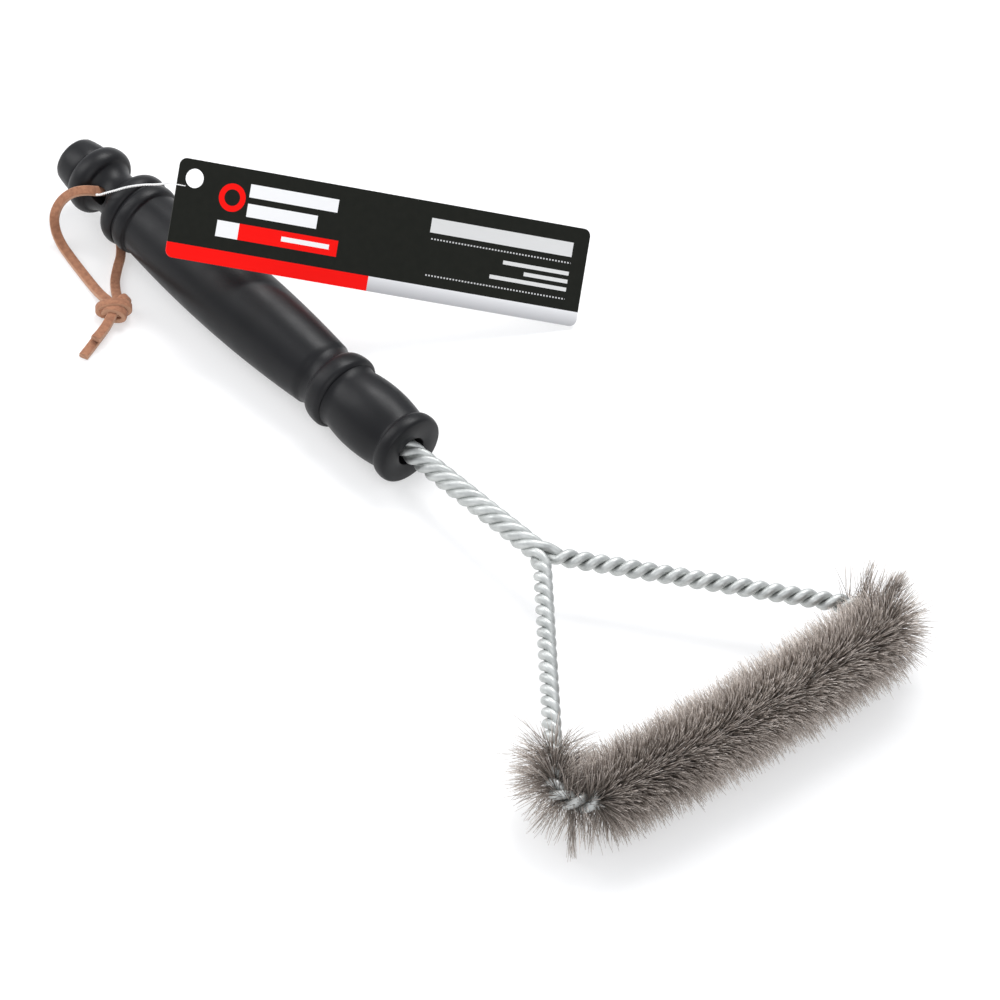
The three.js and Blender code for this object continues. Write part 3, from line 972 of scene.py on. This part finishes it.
def filaments(name, roots, directions, lengths, sag, tones, node):
    """Thin closed three-sided bars, one for each filament, bent by sag over their length."""
    shares = FILAMENT_STATIONS
    along = lengths[:, None] * shares[None]
    points = roots[:, None] + directions[:, None] * along[..., None]
    points = points + sag[:, None] * (shares**2)[None, :, None] * lengths[:, None, None]
    floor = 0.25 + 0.5 * RANDOM.random(points.shape[:2])
    points[..., 2] = np.maximum(points[..., 2], floor)
    ahead = unit(np.gradient(points, axis=1))
    helper = unit(RANDOM.normal(size=(len(roots), 3)))[:, None]
    first = unit(np.cross(ahead, helper))
    second = np.cross(ahead, first)
    radius = FILAMENT_RADIUS * FILAMENT_TAPER[None, :, None]
    rings = [
        points + radius * (first * math.cos(a) + second * math.sin(a))
        for a in (0, 2 * math.pi / 3, 4 * math.pi / 3)
    ]
    corners = place(np.stack(rings, axis=2).reshape(-1, 3))
    rows = len(shares)
    pattern = []
    for i in range(rows - 1):
        for k in range(3):
            here, after = i * 3 + k, i * 3 + (k + 1) % 3
            pattern.append((here, after, after + 3, here + 3))
    quads = np.array(pattern)[None] + np.arange(len(roots))[:, None, None] * rows * 3
    caps = np.array([(2, 1, 0), (rows * 3 - 3, rows * 3 - 2, rows * 3 - 1)])
    caps = caps[None] + np.arange(len(roots))[:, None, None] * rows * 3
    quads, caps = quads.reshape(-1, 4), caps.reshape(-1, 3)
    mesh = bpy.data.meshes.new(name)
    mesh.vertices.add(len(corners))
    mesh.vertices.foreach_set("co", corners.ravel())
    mesh.loops.add(quads.size + caps.size)
    mesh.loops.foreach_set("vertex_index", np.concatenate([quads.ravel(), caps.ravel()]))
    mesh.polygons.add(len(quads) + len(caps))
    starts = np.concatenate([np.arange(len(quads)) * 4, quads.size + np.arange(len(caps)) * 3])
    mesh.polygons.foreach_set("loop_start", starts)
    mesh.update(calc_edges=True)
    mesh.polygons.foreach_set("use_smooth", [True] * len(mesh.polygons))
    tone = mesh.attributes.new("tone", "FLOAT", "POINT")
    # Each filament's random tone, plus painted shade at its root and painted light at its tip.
    root_shade_tip_light = np.tile(np.repeat(PAINTED_ROOT_SHADE_TIP_LIGHT, 3), len(roots))
    tone.data.foreach_set("value", np.clip(np.repeat(tones, rows * 3) + root_shade_tip_light, 0, 1))
    piece = bpy.data.objects.new(name, mesh)
    bpy.context.scene.collection.objects.link(piece)
    return finish(piece, "steel_bristle", "brush", node)


ARM_LENGTH = np.linalg.norm(LEFT - FORK)
LEFT_START = FORK_AT + 89
RIGHT_END = AXIS_LENGTH - FORK_AT - 98.5
LEFT_BEND = FORK_AT + ARM_LENGTH - 17  # where the arm's straight run ends
RIGHT_BEND = AXIS_LENGTH - LEFT_BEND
BEND_RUN = 18.2
REACH = 14.6  # from the pair's axis to the filaments' tips


def run_of_bristles(name, start, end, per_mm, node, spread, lean, tone=0.45):
    """Filaments clamped between the two wires, from start to end along the pair's axis."""
    count = int((end - start) * per_mm)
    distances = np.sort(RANDOM.uniform(start, end, count))
    _, ahead, up, side = axis_frames(distances)
    centre = pair_centre(distances)
    angle = twist_angle(distances) + math.pi / 2 + math.pi * RANDOM.integers(0, 2, count)
    angle = angle + RANDOM.normal(0, spread, count)
    out = side * np.cos(angle)[:, None] + up * np.sin(angle)[:, None]
    directions = unit(out + ahead * RANDOM.normal(0, lean, count)[:, None])
    lengths = np.clip(RANDOM.normal(REACH - 0.5, 1.7, count), 8, REACH + 2.2)
    sag = RANDOM.normal(0, 0.06, (count, 3))
    tones = np.clip(RANDOM.normal(tone, 0.2, count), 0, 1)
    return filaments(name, centre, directions, lengths, sag, tones, node)


def tuft(name, root, reach, count, spread, node):
    """A bunch of filaments that have closed up on one another."""
    length = np.linalg.norm(reach)
    roots = np.array(root) + RANDOM.normal(0, 0.5, (count, 3))
    directions = unit(np.array(reach) / length + RANDOM.normal(0, spread, (count, 3)))
    lengths = RANDOM.normal(length, 0.5, count)
    sag = RANDOM.normal(0, 0.02, (count, 3))
    tones = np.clip(RANDOM.normal(0.45, 0.2, count), 0, 1)
    return filaments(name, roots, directions, lengths, sag, tones, node)


def bristles():
    left, right = "bristles_left_corner", "bristles_right_corner"
    full = LEFT_START + 6
    first = LEFT_BEND + BEND_RUN
    run_of_bristles("bristles_where_left_arm_starts", LEFT_START, full, 22, left, 0.7, 0.3)
    run_of_bristles("bristles_on_left_arm", full, LEFT_BEND, 70, left, 0.7, 0.28)
    run_of_bristles("bristles_in_left_bend", LEFT_BEND, first, 30, left, 0.7, 0.2, 0.38)
    run = (RIGHT_BEND - LEFT_BEND - 2 * BEND_RUN) / 4
    for k in range(4):
        start = first + k * run
        tone = 0.45 if k else 0.33
        name = f"bristles_on_base_{k + 1}"
        run_of_bristles(name, start, start + run, 155, "bristles_base", 0.52, 0.13, tone)
    start = RIGHT_BEND - BEND_RUN
    run_of_bristles("bristles_in_right_bend", start, start + 10, 125, right, 0.6, 0.2)
    run_of_bristles("bristles_past_right_bend", start + 10, RIGHT_BEND, 32, right, 0.7, 0.2)
    run_of_bristles("bristles_on_right_arm", RIGHT_BEND, RIGHT_END, 9, right, 0.7, 0.3)
    for k, (root, reach, count, spread, node) in enumerate(TUFTS):
        tuft(f"bristle_tuft_{k + 1}", root, reach, count, spread, node)


# --- Hang tag ---------------------------------------------------------------------------


def card_frame():
    """The card's corner under its hole, and the directions along, up and out of its front."""
    along = unit(np.array(TAG_ALONG))
    normal = unit(np.cross(TAG_DOWN, along))
    end = np.array(TAG_LOW_CORNER) - along * TAG_LENGTH
    return place([end])[0], along, np.cross(normal, along), normal


def hang_tag():
    outline = []
    corners = (
        (TAG_LENGTH - TAG_CORNER, TAG_CORNER, -90),
        (TAG_LENGTH - TAG_CORNER, TAG_HEIGHT - TAG_CORNER, 0),
        (TAG_CORNER, TAG_HEIGHT - TAG_CORNER, 90),
        (TAG_CORNER, TAG_CORNER, 180),
    )
    for x, y, start in corners:
        for k in range(13):
            angle = math.radians(start + 90 * k / 12)
            outline.append((x + TAG_CORNER * math.cos(angle), y + TAG_CORNER * math.sin(angle)))
    eye = (TAG_HOLE[0], TAG_HEIGHT - TAG_HOLE[1])
    hole = [(eye[0] + x, eye[1] + y) for x, y in reversed(circle(TAG_HOLE[2], 64))]
    piece = card_mesh(outline, hole)
    finish(piece, "printed_card", "tag", "hang_tag")


def card_mesh(outline, hole):
    """A flat card: a filled curve outline with a hole, extruded to its thickness."""
    curve = bpy.data.curves.new("card_outline", "CURVE")
    curve.dimensions = "2D"
    curve.fill_mode = "BOTH"
    curve.extrude = TAG_THICKNESS / 2
    for loop in (outline, hole):
        line = curve.splines.new("POLY")
        line.points.add(len(loop) - 1)
        for point, (x, y) in zip(line.points, loop):
            point.co = (x, y, 0, 1)
        line.use_cyclic_u = True
    shape = bpy.data.objects.new("card_outline", curve)
    bpy.context.scene.collection.objects.link(shape)
    bpy.context.view_layer.update()
    mesh = bpy.data.meshes.new_from_object(
        shape.evaluated_get(bpy.context.evaluated_depsgraph_get())
    )
    bpy.data.objects.remove(shape)
    flat = np.zeros(len(mesh.vertices) * 3)
    mesh.vertices.foreach_get("co", flat)
    flat = flat.reshape(-1, 3)
    while mesh.uv_layers:
        mesh.uv_layers.remove(mesh.uv_layers[0])
    layer = mesh.uv_layers.new(name="print")
    for loop in mesh.loops:
        x, y, _ = flat[loop.vertex_index]
        layer.data[loop.index].uv = (x / TAG_LENGTH, y / TAG_HEIGHT)
    end, *directions = card_frame()
    world = end + flat * MM @ np.array(directions)
    mesh.vertices.foreach_set("co", world.ravel())
    mesh.update()
    piece = bpy.data.objects.new("card_tag", mesh)
    bpy.context.scene.collection.objects.link(piece)
    return piece


FLOOR_HALF = 3.0


def floor():
    corners = [(x * FLOOR_HALF, y * FLOOR_HALF, 0) for x, y in ((-1, -1), (1, -1), (1, 1), (-1, 1))]
    piece = add_mesh("floor", corners, [(0, 1, 2, 3)], smooth=False)
    piece.data.materials.append(floor_look())


camera()
light()
floor()
lanyard()
string()
handle()
wires()
bristles()
hang_tag()

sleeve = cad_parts["glue_sleeve"]
for material_slot in sleeve.material_slots:
    material_slot.material = LOOKS["adhesive"]
